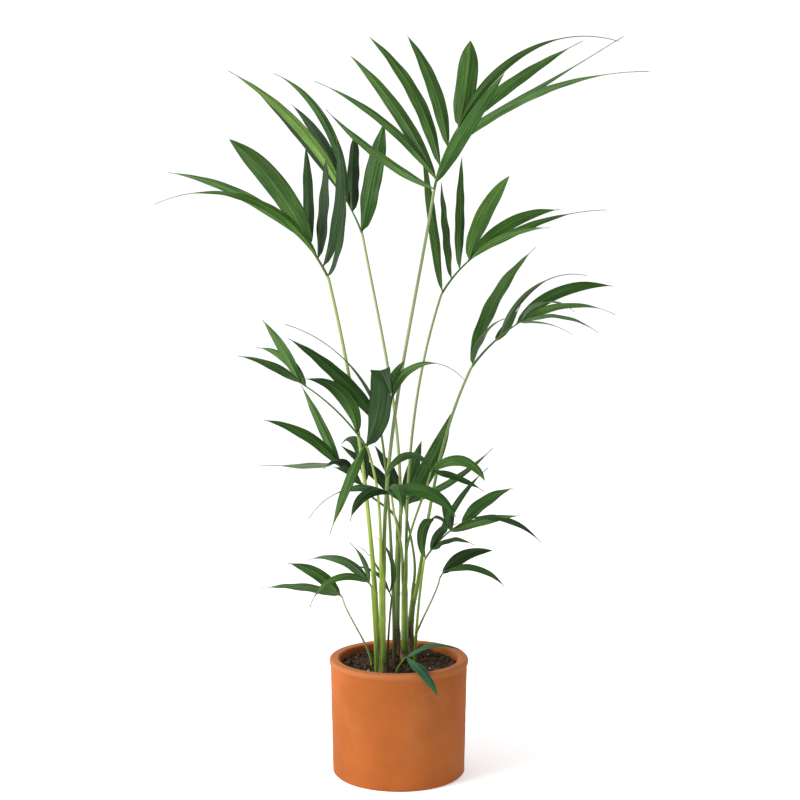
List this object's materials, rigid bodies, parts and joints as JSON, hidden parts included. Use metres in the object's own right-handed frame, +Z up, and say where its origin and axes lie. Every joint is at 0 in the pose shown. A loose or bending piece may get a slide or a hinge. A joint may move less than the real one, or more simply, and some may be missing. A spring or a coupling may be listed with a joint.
{
  "type": "potted kentia palm",
  "caption": "Young kentia palm with slender upright stalks and feathered fronds, growing in a plain round terracotta pot filled with dark soil.",
  "frame": {"origin": "on the pot's axis, in the plane of its flat underside", "axes": "+Z up along the pot's axis, +X to the right and +Y away from the front of the pot, as seen in the picture"},
  "size_m": [0.6289, 0.3822, 1.0129],
  "materials": {
    "terracotta": "matte",
    "soil": "matte",
    "stalk": "satin",
    "leaflet": "satin"
  },
  "bodies": {
    "root": {"pot": "terracotta", "soil": "soil", "stem_front_left": "stalk", "stem_front": "stalk", "stem_back_left": "stalk", "stem_middle": "stalk", "stem_back_right": "stalk", "stalk_top": "stalk", "frond_top": "leaflet", "stalk_upper_right": "stalk", "frond_upper_right": "leaflet", "stalk_right": "stalk", "frond_right": "leaflet", "stalk_upper_left": "stalk", "frond_upper_left": "leaflet", "stalk_left": "stalk", "frond_left": "leaflet", "stalk_mid_left": "stalk", "frond_mid_left": "leaflet", "stalk_mid_centre": "stalk", "frond_mid_centre": "leaflet", "stalk_lower_left": "stalk", "frond_lower_left": "leaflet", "stalk_front": "stalk", "frond_front": "leaflet", "stalk_centre_right": "stalk", "frond_centre_right": "leaflet", "stalk_back": "stalk", "frond_back": "leaflet", "stalk_lower_right": "stalk", "frond_lower_right": "leaflet", "stalk_low_right": "stalk", "frond_low_right": "leaflet", "stalk_low_left": "stalk", "frond_low_left": "leaflet", "stalk_low_centre": "stalk", "frond_low_centre": "leaflet", "stalk_small_back": "stalk", "frond_small_back": "leaflet", "stalk_small_front": "stalk", "frond_small_front": "leaflet"}
  },
  "joints": []
}
